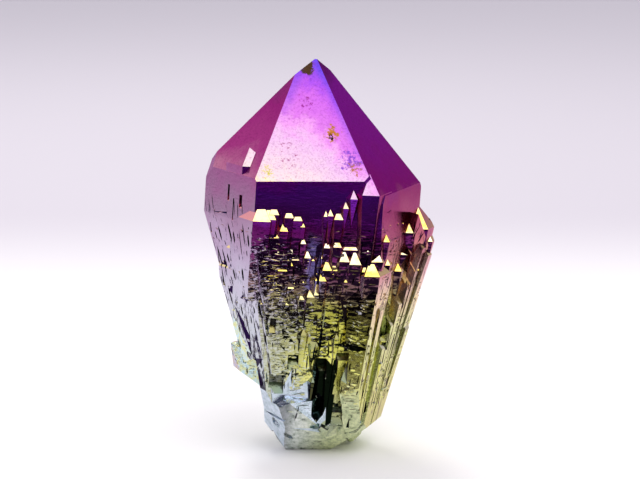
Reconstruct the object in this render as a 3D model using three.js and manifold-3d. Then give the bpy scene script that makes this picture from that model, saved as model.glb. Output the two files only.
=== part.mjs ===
// A single point of rainbow aura quartz: one hexagonal crystal that narrows towards the place where it broke
// off, with many smaller crystals and ribs of the same orientation grown onto its sides, two lumps at other
// angles low down, and a rough broken foot, on whose worn flat it stands.
//
// Units are millimetres and +Z is up. Crystals are worked out in the crystal's own frame, in which Z is the c
// axis, and are turned to the slight lean at which the point rests. Places on a side are given by "across",
// the distance along the side from its middle line, positive to the right of someone who faces the front, and
// by height.
import * as THREE from "three";
import { ConvexGeometry } from "three/addons/geometries/ConvexGeometry.js";
import { mergeVertices } from "three/addons/utils/BufferGeometryUtils.js";
import Module from "manifold-3d";

const wasm = await Module();
wasm.setup();

const degrees = THREE.MathUtils.degToRad;

// ---- driving dimensions ----

const leanDeg = 3.8; // the c axis leans to the right as the point stands
const yawDeg = 8.2; // and the front side looks a little to the right
const axisAtFoot = -3.3; // where the c axis meets the ground, along X
const footHeight = 0.85; // the height of the worn flat in the crystal's frame
const belowGround = -3; // where the main crystal ends before the foot is cut

// Quartz: the six sides stand 60 degrees apart, and each face of the tip leans 38.2 degrees from the c axis.
const sideDeg = { front: -90, frontRight: -30, backRight: 30, back: 90, backLeft: 150, frontLeft: 210 };
const sideNames = Object.keys(sideDeg);
const tipFall = 1 / Math.tan(degrees(38.2)); // how far a tip face falls for each millimetre outwards

// The main crystal, side by side: its distance from the c axis at the shoulder, the height at which its tip
// face would cross the c axis, its lean inwards, in degrees, below the height where the narrowing starts, and
// how far it is turned about the c axis, in degrees, where it is.
const main = {
  front: { distance: 9.65, tip: 45.5, lean: 6, leanFrom: 29, turn: 1.6 },
  frontRight: { distance: 10.8, tip: 45.5, lean: 3, leanFrom: 25 },
  backRight: { distance: 12.3, tip: 46.9, lean: 14, leanFrom: 26 },
  back: { distance: 10.2, tip: 45.7, lean: 10, leanFrom: 28 },
  backLeft: { distance: 9.6, tip: 46.0, lean: 20, leanFrom: 28 },
  frontLeft: { distance: 11.3, tip: 47.6, lean: 12, leanFrom: 28 },
};

// Two corners below the tip are worn off: which way each worn face looks, and a point on it.
const wornCorners = [
  { aroundDeg: 183, upDeg: 22, through: [-11.65, -1.8, 32.9] },
  { aroundDeg: -67.6, upDeg: 18, through: [4.6, -9.62, 33.2] },
];

// Small crystals, ribs and hollows.
const rootDepth = 2.5; // how far a small crystal or a rib is carried on into the stone behind it
const rootLength = 1.5; // and how far on below the place where it runs out
const lowest = 3; // none of them reaches below this height
const overCorner = { least: 0.3, share: 0.65 }; // how far one may stand proud of the next side
const pointedBelow = 1; // those with a smaller half width end in a point
const ribWallDeg = 80; // how far the walls of a rib turn away from the side
const hollowWallDeg = 75; // and the walls of a hollow

// Smaller crystals of the same orientation, on each side: across, the height of the lower edge of the tip
// face, half the width, how far it stands proud of the main crystal there, and how far down it runs out.
const grownOn = {
  front: [
    [-6.6, 28.7, 1.0, 1.15, 8], [-5.7, 28.9, 0.7, 0.9, 6], [-5.2, 29.4, 0.55, 0.55, 5],
    [-3.5, 29.1, 0.5, 0.45, 4], [-2.5, 28.8, 0.5, 0.4, 4], [-4.0, 27.6, 0.45, 0.75, 5],
    [-1.9, 28.1, 0.25, 0.4, 3], [0.6, 29.4, 0.25, 0.4, 3], [1.1, 29.5, 0.3, 0.5, 3],
    [2.05, 29.1, 0.5, 0.4, 4], [3.55, 31.5, 0.4, 0.65, 3], [2.75, 30.4, 0.3, 0.5, 2.5],
    [5.4, 32.0, 0.97, 0.75, 9], [2.1, 26.0, 0.46, 0.8, 5], [1.0, 25.8, 0.35, 0.4, 3],
    [3.0, 24.4, 0.57, 1.0, 6], [4.2, 24.15, 0.67, 1.2, 8], [5.45, 23.3, 0.4, 1.0, 6],
    [6.15, 22.9, 0.87, 1.55, 11], [1.15, 23.3, 0.52, 0.9, 5], [1.95, 23.3, 0.36, 0.85, 5],
    [2.6, 23.15, 0.36, 0.75, 5], [0.5, 22.1, 0.62, 1.1, 7], [3.65, 22.0, 0.46, 0.85, 5],
    [5.05, 22.0, 0.25, 0.8, 4], [-0.4, 20.1, 0.46, 0.8, 5], [0.55, 19.4, 0.3, 0.6, 4],
    [-3.8, 23.0, 0.52, 0.65, 4], [-2.9, 23.6, 0.25, 0.4, 2.5], [-4.7, 24.9, 0.3, 0.4, 2.5],
    [-1.7, 26.2, 0.3, 0.5, 3], [-1.1, 24.6, 0.36, 0.6, 3], [0.25, 24.6, 0.3, 0.5, 3],
    [-1.3, 19.7, 0.35, 0.4, 3], [-5.4, 26.6, 1.6, 0.18, 12], [-1.6, 24.2, 1.8, 0.14, 10],
    [3.4, 25.6, 1.6, 0.16, 9], [-4.2, 20.9, 1.9, 0.22, 12], [3.2, 19.4, 1.7, 0.2, 10],
    [-3.4, 15.4, 1.6, 0.25, 8], [4.3, 14.2, 1.3, 0.25, 8],
  ],
  frontRight: [
    [7.8, 26.6, 1.3, 1.75, 12], [8.7, 25.0, 1.0, 2.0, 11], [4.8, 26.4, 0.52, 0.95, 6],
    [6.95, 27.4, 0.25, 0.6, 4], [3.7, 24.0, 0.46, 0.9, 7], [2.0, 22.3, 0.36, 0.7, 5],
    [-2.95, 26.5, 0.35, 0.6, 3], [-4.3, 24.3, 0.35, 0.5, 3], [-1.75, 23.6, 0.3, 0.5, 3],
    [-5.3, 21.5, 0.9, 0.6, 12],
  ],
  frontLeft: [
    [0.65, 34.2, 1.5, 0.0, 4], [3.9, 26.5, 1.4, 0.2, 9], [1.0, 24.5, 1.6, 0.25, 9],
    [-1.2, 22.0, 1.4, 0.2, 10], [3.4, 19.0, 1.4, 0.25, 9], [0.6, 17.0, 1.6, 0.25, 9],
  ],
};

// Ribs: planks of quartz along a side, with a single tip face on top. Across and the height at the top, half
// the width, how far each stands proud there, how far down it runs out, and its slant, in degrees, as the
// side narrows.
const ribs = {
  frontRight: [
    [6.3, 24.4, 0.6, 1.6, 17, 18], [7.6, 23.4, 0.6, 1.95, 17, 19], [5.1, 21.8, 0.55, 1.4, 18, 15],
    [3.6, 20.4, 0.5, 1.2, 16, 12], [-4.9, 20.8, 0.6, 0.5, 15, 5], [-3.2, 18.6, 0.5, 0.6, 13, 6],
    [1.9, 18.4, 0.5, 1.0, 14, 10], [0.0, 16.2, 0.5, 0.9, 12, 8], [6.4, 18.6, 0.6, 1.4, 12, 18],
    [-1.6, 13.8, 0.45, 0.8, 10, 6], [4.9, 15.0, 0.6, 1.2, 10, 15],
  ],
  backRight: [
    [-6.2, 24.4, 0.7, 0.9, 15, -14], [-4.2, 23.6, 0.6, 0.7, 13, -10], [4.6, 24.6, 0.7, 0.8, 14, 10],
    [1.2, 22.0, 0.6, 0.6, 12, 2], [-1.8, 19.6, 0.6, 0.7, 11, -5], [5.0, 18.4, 0.6, 0.8, 11, 11],
  ],
  back: [
    [-4.8, 25.0, 0.7, 0.6, 14, -9], [-1.4, 23.2, 0.6, 0.5, 12, -3], [3.0, 24.4, 0.7, 0.6, 13, 6],
    [4.9, 20.2, 0.6, 0.6, 11, 9], [0.6, 18.2, 0.6, 0.5, 10, 1],
  ],
  backLeft: [[-3.4, 24.0, 0.7, 0.4, 13, -10], [0.4, 22.2, 0.6, 0.4, 11, 0], [3.6, 20.6, 0.6, 0.4, 10, 9]],
};

// Each side is filled with more small crystals at random: how many, and the ranges of their sizes.
const scattered = {
  front: { count: 16, height: [9, 22], half: [0.2, 0.45], proud: [0.35, 0.7], runOut: [1.5, 4] },
  frontRight: { count: 4, height: [12, 19], half: [0.2, 0.35], proud: [0.5, 0.9], runOut: [2, 5] },
  backRight: { count: 20, height: [12, 28], half: [0.3, 1.4], proud: [0.3, 1.2], runOut: [3, 10] },
  back: { count: 22, height: [10, 28], half: [0.3, 1.5], proud: [0.3, 1.0], runOut: [3, 10] },
  backLeft: { count: 20, height: [11, 27], half: [0.3, 1.2], proud: [0.2, 0.6], runOut: [3, 9] },
  frontLeft: { count: 12, height: [9, 25], half: [0.25, 0.6], proud: [0.1, 0.25], runOut: [2, 6] },
};

// Hollows in the sides: across, bottom, top, half the width, and depth below the main crystal's side.
const hollows = {
  front: [
    [1.4, 6.4, 12.8, 0.85, 0.7], [1.7, 11.4, 12.6, 0.75, 1.1], [3.9, 6.6, 8.6, 0.7, 0.5],
    [5.0, 6.2, 7.8, 0.5, 0.5], [-3.4, 9.5, 10.8, 1.0, 0.45], [0.2, 20.8, 26.0, 0.35, 0.1],
    [-1.8, 12.2, 13.2, 0.8, 0.3], [3.9, 13.4, 14.0, 0.9, 0.1], [-4.4, 16.4, 17.4, 0.5, 0.1],
    [0.4, 14.2, 18.0, 0.35, 0.2],
  ],
  frontRight: [
    [-4.1, 6.2, 8.4, 0.35, 0.8], [-2.2, 8.2, 10.2, 0.2, 0.5], [3.4, 21.6, 25.2, 0.6, 0.5],
    [0.6, 18.4, 22.0, 0.5, 0.3], [-0.4, 14.6, 17.4, 0.55, 0.5], [-0.9, 12.0, 14.4, 0.5, 0.5],
    [-1.4, 9.6, 11.8, 0.4, 0.4],
  ],
  frontLeft: [
    [-0.1, 30.6, 31.8, 0.3, 0.5], [0.9, 28.4, 30.4, 0.2, 0.4], [2.2, 29.9, 31.0, 0.35, 0.3],
  ],
};
// And narrow slits at random: how many on each side, and the ranges of their sizes.
const slitsOnSide = { frontLeft: 22, backLeft: 8, backRight: 5, back: 5 };
const slit = { top: [11, 29], length: [0.8, 2.4], half: [0.09, 0.18], depth: [0.2, 0.5], fromEdge: 0.6 };

// The break at the foot: the direction that each face looks, how far from the middle of the foot it meets the
// ground, and how steeply it rises from there.
const footMiddle = new THREE.Vector3(-0.6, 0.3, 0);
const breakFaces = [
  [-90, 4.3, 47], [-19, 3.1, 34], [45, 5.0, 48], [90, 4.6, 50], [150, 4.0, 56], [189, 4.0, 54],
  [-135, 5.5, 50], [-90, 5.9, 64], [-40, 6.2, 56], [10, 6.6, 56], [60, 6.6, 66], [110, 6.2, 66],
  [165, 5.0, 66], [215, 5.4, 64],
];

// Lumps that grew or broke at other angles, given as the point stands: where each is, and the faces of the
// flat-sided ones as the direction that the face looks, how far it looks up, and its distance from the middle
// of the lump.
const leftGrowth = { from: [-4.6, -2.0, 8.0], tip: [-10.2, -4.4, 12.8], radius: 2.05, turn: 20 };
const lowBlock = {
  middle: [-3.6, -5.6, 5.4],
  faces: [
    [-106, 10, 3.3], [-62, 4, 3.1], [-60, 62, 2.6], [-150, 50, 2.6], [180, 0, 2.8], [90, 0, 3], [90, 70, 2.8],
    [-90, -70, 2.4], [10, -20, 3.6], [40, 20, 3.4],
  ],
};
const brokenAway = {
  middle: [-11, -2, 3],
  faces: [[0, 8, 4.9], [170, 60, 5.2], [180, 0, 8], [90, 0, 8], [-90, 0, 8], [0, -90, 8]],
};

// Crumbs of the break: how many, the range of their sizes, how far each is sunk as a share of its size, and
// the range of heights. Those of the second kind are missing from the stone.
const crumbsOn = { count: 16, size: [0.7, 1.3], sunk: 0.6, height: [1.3, 4.2] };
const crumbsMissing = { count: 8, size: [0.5, 1.0], sunk: -0.35, height: [1.3, 4.2] };

// ---- chance, the same each time ----

const crystalSeed = 20261;
const crumbSeed = 5;
let seed = crystalSeed;
function chance(low = 0, high = 1) {
  seed = (seed + 0x6d2b79f5) | 0;
  let mixed = Math.imul(seed ^ (seed >>> 15), 1 | seed);
  mixed = (mixed + Math.imul(mixed ^ (mixed >>> 7), 61 | mixed)) ^ mixed;
  return low + (high - low) * (((mixed ^ (mixed >>> 14)) >>> 0) / 4294967296);
}

// ---- solids from half-spaces ----

const farOff = 60; // beyond the point on every side

const standing = new THREE.Matrix4()
  .makeTranslation(axisAtFoot, 0, -footHeight)
  .multiply(new THREE.Matrix4().makeRotationY(degrees(leanDeg)))
  .multiply(new THREE.Matrix4().makeRotationZ(degrees(yawDeg)));

// The outward direction at an angle about the c axis, tipped down by lean degrees.
function outward(aroundDeg, lean = 0) {
  const around = degrees(aroundDeg);
  const down = degrees(lean);
  const level = new THREE.Vector3(Math.cos(around), Math.sin(around), 0);
  return level.multiplyScalar(Math.cos(down)).setZ(-Math.sin(down));
}

function planeAt(normal, point) {
  return new THREE.Plane().setFromNormalAndCoplanarPoint(normal, point);
}

// A tip face at an angle about the c axis, through a point.
function tipFace(aroundDeg, point) {
  return planeAt(outward(aroundDeg).multiplyScalar(tipFall).setZ(1).normalize(), point);
}

function solidOf(geometry) {
  geometry.deleteAttribute("normal");
  geometry.deleteAttribute("uv");
  const merged = mergeVertices(geometry, 1e-4);
  return new wasm.Manifold(
    new wasm.Mesh({
      numProp: 3,
      vertProperties: merged.attributes.position.array,
      triVerts: new Uint32Array(merged.index.array),
    }),
  );
}

// The convex solid inside a set of planes: its corners are where three planes meet inside all the others. It
// is turned to the lean of the point, unless its planes are already given as the point stands.
function solidInside(planes, placement = standing) {
  const corners = [];
  const system = new THREE.Matrix3();
  for (let i = 0; i < planes.length; i++)
    for (let j = i + 1; j < planes.length; j++)
      for (let k = j + 1; k < planes.length; k++) {
        const [a, b, c] = [planes[i], planes[j], planes[k]];
        system.set(...a.normal.toArray(), ...b.normal.toArray(), ...c.normal.toArray());
        if (Math.abs(system.determinant()) < 1e-6) continue;
        const corner = new THREE.Vector3(-a.constant, -b.constant, -c.constant).applyMatrix3(system.invert());
        const inside = planes.every((plane) => plane.distanceToPoint(corner) < 1e-5);
        if (inside && !corners.some((known) => known.distanceTo(corner) < 2e-3)) corners.push(corner);
      }
  return solidOf(new ConvexGeometry(corners).applyMatrix4(placement));
}

// ---- crystals ----

// The two planes of a side of the main crystal, upright above and leaning in below, moved outwards.
function sidePlanes(side, moved) {
  const { distance, lean, leanFrom, turn = 0 } = main[side];
  const middle = outward(sideDeg[side]).multiplyScalar(distance + moved).setZ(leanFrom);
  const around = sideDeg[side] + turn;
  return [planeAt(outward(around), middle), planeAt(outward(around, lean), middle)];
}

// All the planes of the main crystal, down to below the ground.
function mainPlanes() {
  const planes = [planeAt(new THREE.Vector3(0, 0, -1), new THREE.Vector3(0, 0, belowGround))];
  for (const { aroundDeg, upDeg, through } of wornCorners)
    planes.push(planeAt(outward(aroundDeg, -upDeg), new THREE.Vector3(...through)));
  for (const side of sideNames) {
    const tip = new THREE.Vector3(0, 0, main[side].tip);
    planes.push(...sidePlanes(side, 0), tipFace(sideDeg[side], tip));
  }
  return planes;
}

// How far a side of the main crystal is from the c axis at a height.
function sideDistance(side, height) {
  const { distance, lean, leanFrom } = main[side];
  return distance - Math.max(0, leanFrom - height) * Math.tan(degrees(lean));
}

// Where a side of the main crystal meets the two sides next to it at a height, as places across it.
function sideEnds(side, height) {
  const index = sideNames.indexOf(side);
  const own = sideDistance(side, height);
  const reach = (turn) => {
    const next = sideDistance(sideNames[(index + turn + 6) % 6], height);
    return (next - own * Math.cos(degrees(60))) / Math.sin(degrees(60));
  };
  return [-reach(-1), reach(1)];
}

// A point on a side: its distance from the c axis, its place across, and its height.
function place(side, distance, across, height) {
  const around = sideDeg[side];
  return outward(around).multiplyScalar(distance).addScaledVector(outward(around + 90), across).setZ(height);
}

// A smaller crystal on a side of the main one. It shows its outer side, two more at 60 degrees to it, and the
// tip faces over them. Below its tip it leans in faster than the side that carries it, so that it runs out.
function smallCrystal(side, [across, edge, half, proud, runOut]) {
  const around = sideDeg[side];
  const lean = edge < main[side].leanFrom ? main[side].lean : 0;
  const leanMore = THREE.MathUtils.radToDeg(Math.atan(Math.max(proud, 0.1) / runOut));
  const distance = sideDistance(side, edge) + proud;
  const pointed = half * Math.sqrt(3); // how far behind the outer side a tip comes to a point
  const inset = half < pointedBelow ? pointed : Math.max(proud, half); // how far behind it the tip's top lies
  const spread = half - inset * Math.tan(degrees(30)); // half the length of the ridge along the tip's top
  const top = edge + inset * tipFall;
  const index = sideNames.indexOf(side);
  const overNext = overCorner.least + overCorner.share * proud;
  const planes = [
    ...sidePlanes(sideNames[(index + 1) % 6], overNext),
    ...sidePlanes(sideNames[(index + 5) % 6], overNext),
    planeAt(outward(around, lean + leanMore), place(side, distance, across, edge)),
    planeAt(outward(around + 60, leanMore), place(side, distance, across + half, edge)),
    planeAt(outward(around - 60, leanMore), place(side, distance, across - half, edge)),
    planeAt(outward(around + 180), place(side, distance - inset - rootDepth, across, edge)),
    planeAt(new THREE.Vector3(0, 0, -1), place(side, 0, 0, Math.max(lowest, edge - runOut - rootLength))),
    tipFace(around, place(side, distance - inset, across, top)),
    tipFace(around + 60, place(side, distance - inset, across + spread, top)),
    tipFace(around - 60, place(side, distance - inset, across - spread, top)),
    tipFace(around + 180, place(side, distance - inset, across, top)),
  ];
  return solidInside(planes);
}

// A rib on a side, which follows the side down and leans in until it runs out.
function rib(side, [across, top, half, proud, runOut, slantDeg]) {
  const around = sideDeg[side];
  const lean = top < main[side].leanFrom ? main[side].lean : 0;
  const leanMore = THREE.MathUtils.radToDeg(Math.atan(proud / runOut));
  const distance = sideDistance(side, top) + proud;
  const slant = degrees(slantDeg);
  const turnedAway = degrees(ribWallDeg);
  const wall = (hand) =>
    outward(around)
      .multiplyScalar(Math.cos(turnedAway))
      .addScaledVector(outward(around + 90), hand * Math.sin(turnedAway) * Math.cos(slant))
      .addScaledVector(new THREE.Vector3(0, 0, -hand), Math.sin(turnedAway) * Math.sin(slant));
  const planes = [
    planeAt(outward(around, lean + leanMore), place(side, distance, across, top)),
    planeAt(wall(1), place(side, distance, across + half, top)),
    planeAt(wall(-1), place(side, distance, across - half, top)),
    planeAt(outward(around + 180), place(side, distance - proud - rootDepth, across, top)),
    planeAt(new THREE.Vector3(0, 0, -1), place(side, 0, 0, Math.max(lowest, top - runOut - rootLength))),
    tipFace(around, place(side, distance, across, top)),
  ];
  return solidInside(planes);
}

function smallCrystals() {
  const solids = [];
  for (const side of sideNames) {
    for (const sizes of grownOn[side] ?? []) solids.push(smallCrystal(side, sizes));
    for (const sizes of ribs[side] ?? []) solids.push(rib(side, sizes));
    const { count, height, half, proud, runOut } = scattered[side];
    for (let i = 0; i < count; i++) {
      const edge = height[1] - (height[1] - height[0]) * Math.sqrt(chance());
      const [left, right] = sideEnds(side, edge);
      const width = chance(...half);
      const across = chance(left + width, right - width);
      solids.push(smallCrystal(side, [across, edge, width, chance(...proud), chance(...runOut)]));
    }
  }
  return solids;
}

// A hollow in a side, with a floor that follows the side and ends cut at the angle of a tip face.
function hollow(side, [across, bottom, top, half, depth]) {
  const around = sideDeg[side];
  const lean = bottom < main[side].leanFrom ? main[side].lean : 0;
  const floor = sideDistance(side, top) - depth;
  const planes = [
    planeAt(outward(around + 180, -lean), place(side, floor, across, top)),
    planeAt(outward(around), place(side, floor + farOff, across, top)),
    planeAt(outward(around + hollowWallDeg), place(side, floor, across + half, top)),
    planeAt(outward(around - hollowWallDeg), place(side, floor, across - half, top)),
    planeAt(new THREE.Vector3(0, 0, 1), place(side, floor, across, top)),
    tipFace(around, place(side, floor, across, bottom)).negate(),
  ];
  return solidInside(planes);
}

function allHollows() {
  const solids = [];
  for (const side of sideNames) {
    for (const sizes of hollows[side] ?? []) solids.push(hollow(side, sizes));
    for (let i = 0; i < (slitsOnSide[side] ?? 0); i++) {
      const top = chance(...slit.top);
      const [left, right] = sideEnds(side, top);
      const across = chance(left + slit.fromEdge, right - slit.fromEdge);
      const bottom = top - chance(...slit.length);
      solids.push(hollow(side, [across, bottom, top, chance(...slit.half), chance(...slit.depth)]));
    }
  }
  return solids;
}

// ---- the low growths and the broken foot, placed as the point stands ----

const asItStands = new THREE.Matrix4();

// A six-sided crystal at another angle, running from a point inside the stone to its own tip.
function turnedCrystal({ from, tip, radius, turn }) {
  const start = new THREE.Vector3(...from);
  const end = new THREE.Vector3(...tip);
  const along = end.clone().sub(start).normalize();
  const turnTo = new THREE.Quaternion().setFromUnitVectors(new THREE.Vector3(0, 0, 1), along);
  const planes = [planeAt(along.clone().negate(), start)];
  for (let i = 0; i < 6; i++) {
    const out = outward(turn + 60 * i).applyQuaternion(turnTo);
    planes.push(planeAt(out, out.clone().multiplyScalar(radius).add(start)));
    planes.push(planeAt(out.clone().multiplyScalar(tipFall).add(along).normalize(), end));
  }
  return solidInside(planes, asItStands);
}

// A lump with flat faces: each face looks in a direction, at a distance from the lump's middle.
function lump({ middle, faces }) {
  const planes = faces.map(([aroundDeg, upDeg, distance]) => {
    const out = outward(aroundDeg, -upDeg);
    return planeAt(out, out.clone().multiplyScalar(distance).add(new THREE.Vector3(...middle)));
  });
  return solidInside(planes, asItStands);
}

// A crumb of the break: a lump with a face above, one below, and five or six around at each of three slopes.
function crumb(middle, size) {
  const faces = [
    [chance(0, 360), 80, size * chance(0.7, 1)],
    [chance(0, 360), -80, size * chance(0.7, 1)],
  ];
  for (const upDeg of [40, 0, -40])
    for (let around = chance(0, 60); around < 360; around += chance(58, 75))
      faces.push([around, upDeg + chance(-15, 15), size * chance(0.75, 1)]);
  return lump({ middle, faces });
}

const breakPlanes = breakFaces.map(([around, reach, rise]) => {
  const out = outward(around);
  const normal = out.clone().multiplyScalar(Math.sin(degrees(rise))).setZ(-Math.cos(degrees(rise)));
  return planeAt(normal, out.clone().multiplyScalar(reach).add(footMiddle));
});

// At the foot the stone ends at the break or at the main crystal's sides.
const footPlanes = [...breakPlanes, ...mainPlanes().map((plane) => plane.applyMatrix4(standing))];

// All that lies above the ground and inside the planes given.
function above(planes) {
  const around = [0, 90, 180, 270].map((deg) => planeAt(outward(deg), outward(deg).multiplyScalar(farOff)));
  const ground = planeAt(new THREE.Vector3(0, 0, -1), new THREE.Vector3());
  const sky = planeAt(new THREE.Vector3(0, 0, 1), new THREE.Vector3(0, 0, farOff));
  return solidInside([...planes, ...around, ground, sky], asItStands);
}

// Crumbs that stand out from the break, or are missing from it.
function crumbs({ count, size, sunk, height }) {
  const solids = [];
  for (let i = 0; i < count; i++) {
    const middle = footMiddle.clone().setZ(chance(...height));
    const direction = outward(chance(0, 360));
    const distances = footPlanes
      .filter((plane) => plane.normal.dot(direction) > 0)
      .map((plane) => -plane.distanceToPoint(middle) / plane.normal.dot(direction));
    const ownSize = chance(...size);
    middle.addScaledVector(direction, Math.min(...distances) - sunk * ownSize);
    solids.push(crumb(middle, ownSize));
  }
  return solids;
}

// ---- the point ----

// The outer skin alone: small crystals can close off a hollow between them, which in the stone is solid
// quartz.
function outerSkin({ vertProperties, triVerts }) {
  const leader = Array.from({ length: vertProperties.length / 3 }, (_, vertex) => vertex);
  const leaderOf = (vertex) => {
    while (leader[vertex] !== vertex) vertex = leader[vertex] = leader[leader[vertex]];
    return vertex;
  };
  for (let i = 0; i < triVerts.length; i += 3) {
    leader[leaderOf(triVerts[i + 1])] = leaderOf(triVerts[i]);
    leader[leaderOf(triVerts[i + 2])] = leaderOf(triVerts[i]);
  }
  const skins = new Map();
  for (let i = 0; i < triVerts.length; i += 3) {
    const skin = leaderOf(triVerts[i]);
    if (!skins.has(skin)) skins.set(skin, []);
    skins.get(skin).push(...triVerts.slice(i, i + 3));
  }
  const largest = [...skins.values()].sort((a, b) => b.length - a.length)[0];
  const geometry = new THREE.BufferGeometry();
  geometry.setAttribute("position", new THREE.BufferAttribute(new Float32Array(vertProperties), 3));
  geometry.setIndex(largest);
  return geometry;
}

let point = solidInside(mainPlanes());
for (const solid of smallCrystals()) point = point.add(solid);
for (const solid of allHollows()) point = point.subtract(solid);
point = point.subtract(lump(brokenAway)).add(turnedCrystal(leftGrowth)).add(lump(lowBlock));
point = point.intersect(above(breakPlanes));
seed = crumbSeed;
for (const solid of crumbs(crumbsOn)) point = point.add(solid);
for (const solid of crumbs(crumbsMissing)) point = point.subtract(solid);
point = point.intersect(above([]));

// The origin is on the ground, under the middle of the whole.
const geometry = outerSkin(point.getMesh());
geometry.computeBoundingBox();
const { min, max } = geometry.boundingBox;
geometry.translate(-(min.x + max.x) / 2, -(min.y + max.y) / 2, 0);

const mesh = new THREE.Mesh(
  geometry,
  new THREE.MeshStandardMaterial({ color: 0xb0609a, roughness: 0.18, metalness: 0.9 }),
);
mesh.name = "aura_quartz_point";

const part = new THREE.Group();
part.add(mesh);
export default part;
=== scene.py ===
import math
import random

import bmesh
import bpy
import numpy as np
from mathutils import Matrix, Vector
from mathutils.bvhtree import BVHTree


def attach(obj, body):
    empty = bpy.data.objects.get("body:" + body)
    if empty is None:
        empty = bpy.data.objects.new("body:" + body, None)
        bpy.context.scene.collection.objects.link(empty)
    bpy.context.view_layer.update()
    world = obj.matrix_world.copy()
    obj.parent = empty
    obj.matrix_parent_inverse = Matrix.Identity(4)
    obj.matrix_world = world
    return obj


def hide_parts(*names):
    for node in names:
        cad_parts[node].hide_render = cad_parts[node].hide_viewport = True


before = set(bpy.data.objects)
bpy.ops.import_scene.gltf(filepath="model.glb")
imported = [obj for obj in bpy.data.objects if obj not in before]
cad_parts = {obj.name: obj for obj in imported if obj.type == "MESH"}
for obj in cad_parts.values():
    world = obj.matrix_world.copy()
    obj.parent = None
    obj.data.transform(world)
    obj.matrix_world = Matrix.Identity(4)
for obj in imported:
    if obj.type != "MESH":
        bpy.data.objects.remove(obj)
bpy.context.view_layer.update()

mm = 0.001

# The crystal's own axes: Z is its c axis, which leans to the right as the point stands on its foot
shift = np.array((-0.099, -0.154, 0))  # mm, from where the point was laid out to the frame's own origin
crystal = {
    "leanDeg": 3.8,
    "yawDeg": 8.2,
    "axisAtFoot": np.array((-3.3, 0, -0.85)) + shift,  # mm
    "tipDeg": 38.2,  # between a tip face and the c axis, the same on every quartz crystal
    # the way each side looks, in degrees round from the right
    "sides": {
        "front": -90, "frontRight": -30, "backRight": 30, "back": 90, "backLeft": 150, "frontLeft": 210,
    },
}
crystalTurn = (
    Matrix.Rotation(math.radians(crystal["leanDeg"]), 3, "Y")
    @ Matrix.Rotation(math.radians(crystal["yawDeg"]), 3, "Z")
)
turnArray = np.array(crystalTurn)
originArray = crystal["axisAtFoot"] * mm
tipRise = math.tan(math.radians(crystal["tipDeg"]))


def toStone(points):
    return np.asarray(points) * mm @ turnArray.T + originArray


def toCrystal(points):
    return (np.asarray(points) - originArray) @ turnArray / mm


def turnedBy(angle, x, y):
    return x * math.cos(angle) - y * math.sin(angle), x * math.sin(angle) + y * math.cos(angle)


def smoothStep(start, end, values):
    t = np.clip((values - start) / (end - start), 0, 1)
    return t * t * (3 - 2 * t)


def hexColor(code):
    values = [int(code[i:i + 2], 16) / 255 for i in (0, 2, 4)]
    linear = [v / 12.92 if v <= 0.04045 else ((v + 0.055) / 1.055) ** 2.4 for v in values]
    return (*linear, 1.0)


def selectOnly(obj):
    bpy.ops.object.select_all(action="DESELECT")
    obj.select_set(True)
    bpy.context.view_layer.objects.active = obj


def selectFaces(obj, wanted):
    selectOnly(obj)
    bpy.ops.object.mode_set(mode="EDIT")
    bpy.ops.mesh.select_mode(type="FACE")
    bpy.ops.mesh.select_all(action="DESELECT")
    bpy.ops.object.mode_set(mode="OBJECT")
    for face in obj.data.polygons:
        face.select = wanted(face)
    bpy.ops.object.mode_set(mode="EDIT")


# The camera stands low and well back, with a long lens; lengths are in mm
cameraSet = {
    "aim": shift + np.array((0, 0, 23.85)),
    "riseDeg": 11.1,
    "distance": 260,
    "lens": 127.2,
    "sensor": 36,
    "seesFrom": 10,
}


def addCamera():
    rise = math.radians(cameraSet["riseDeg"])
    back = Vector((0, -math.cos(rise), math.sin(rise))) * cameraSet["distance"] * mm
    place = Vector(cameraSet["aim"]) * mm + back
    bpy.ops.object.camera_add(location=place, rotation=(math.pi / 2 - rise, 0, 0))
    camera = bpy.context.object
    camera.data.lens = cameraSet["lens"]
    camera.data.sensor_width = cameraSet["sensor"]
    camera.data.clip_start = cameraSet["seesFrom"] * mm
    bpy.context.scene.camera = camera


# A place on the stone is found by looking at one of its sides from outside
outside = 30  # mm from the c axis


def sideAxes(name):
    # out of the side and along it
    around = math.radians(crystal["sides"][name])
    x, y = math.cos(around), math.sin(around)
    return np.array([x, y, 0]), np.array([-y, x, 0])


def lookAt(tree, name, across, up):
    out, along = sideAxes(name)
    start = toStone(out * outside + along * across + np.array([0, 0, up]))
    hit, normal, _, _ = tree.ray_cast(Vector(start), Vector(-(turnArray @ out)))
    if hit is None:
        return None
    local = toCrystal(hit[:])
    return local @ out, turnArray.T @ np.array(normal[:])


def seatFor(tree, name, across, up, width, height, flat=0.05, facingLeast=0.85):
    # where a shape of this size can stand, or nothing where the ground is steep or uneven
    out, along = sideAxes(name)
    found = lookAt(tree, name, across, up)
    if found is None:
        return None
    depth, normal = found
    facing = normal @ out
    if facing < facingLeast:
        return None
    slopeUp = -normal[2] / facing
    slopeAcross = -(normal @ along) / facing
    for stepAcross, stepUp in ((-0.5, 0), (0.5, 0), (0, -0.5), (0, 0.5)):
        x, y = stepAcross * width, stepUp * height
        near = lookAt(tree, name, across + x, up + y)
        if near is None or abs(near[0] - depth - slopeAcross * x - slopeUp * y) > flat:
            return None
    at = out * depth + along * across + np.array([0, 0, up])
    return {"side": name, "at": at, "slopeUp": slopeUp, "slopeAcross": slopeAcross}


def putOn(seat, points, followUp=True):
    # a shape is modelled with X across the side, Y up it and Z out of it
    out, along = sideAxes(seat["side"])
    x, y, z = points[:, 0], points[:, 1], points[:, 2]
    follow = y if followUp else np.minimum(y, 0)
    lift = z + seat["slopeAcross"] * x + seat["slopeUp"] * follow
    return seat["at"] + np.outer(x, along) + np.outer(y, [0, 0, 1]) + np.outer(lift, out)


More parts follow.
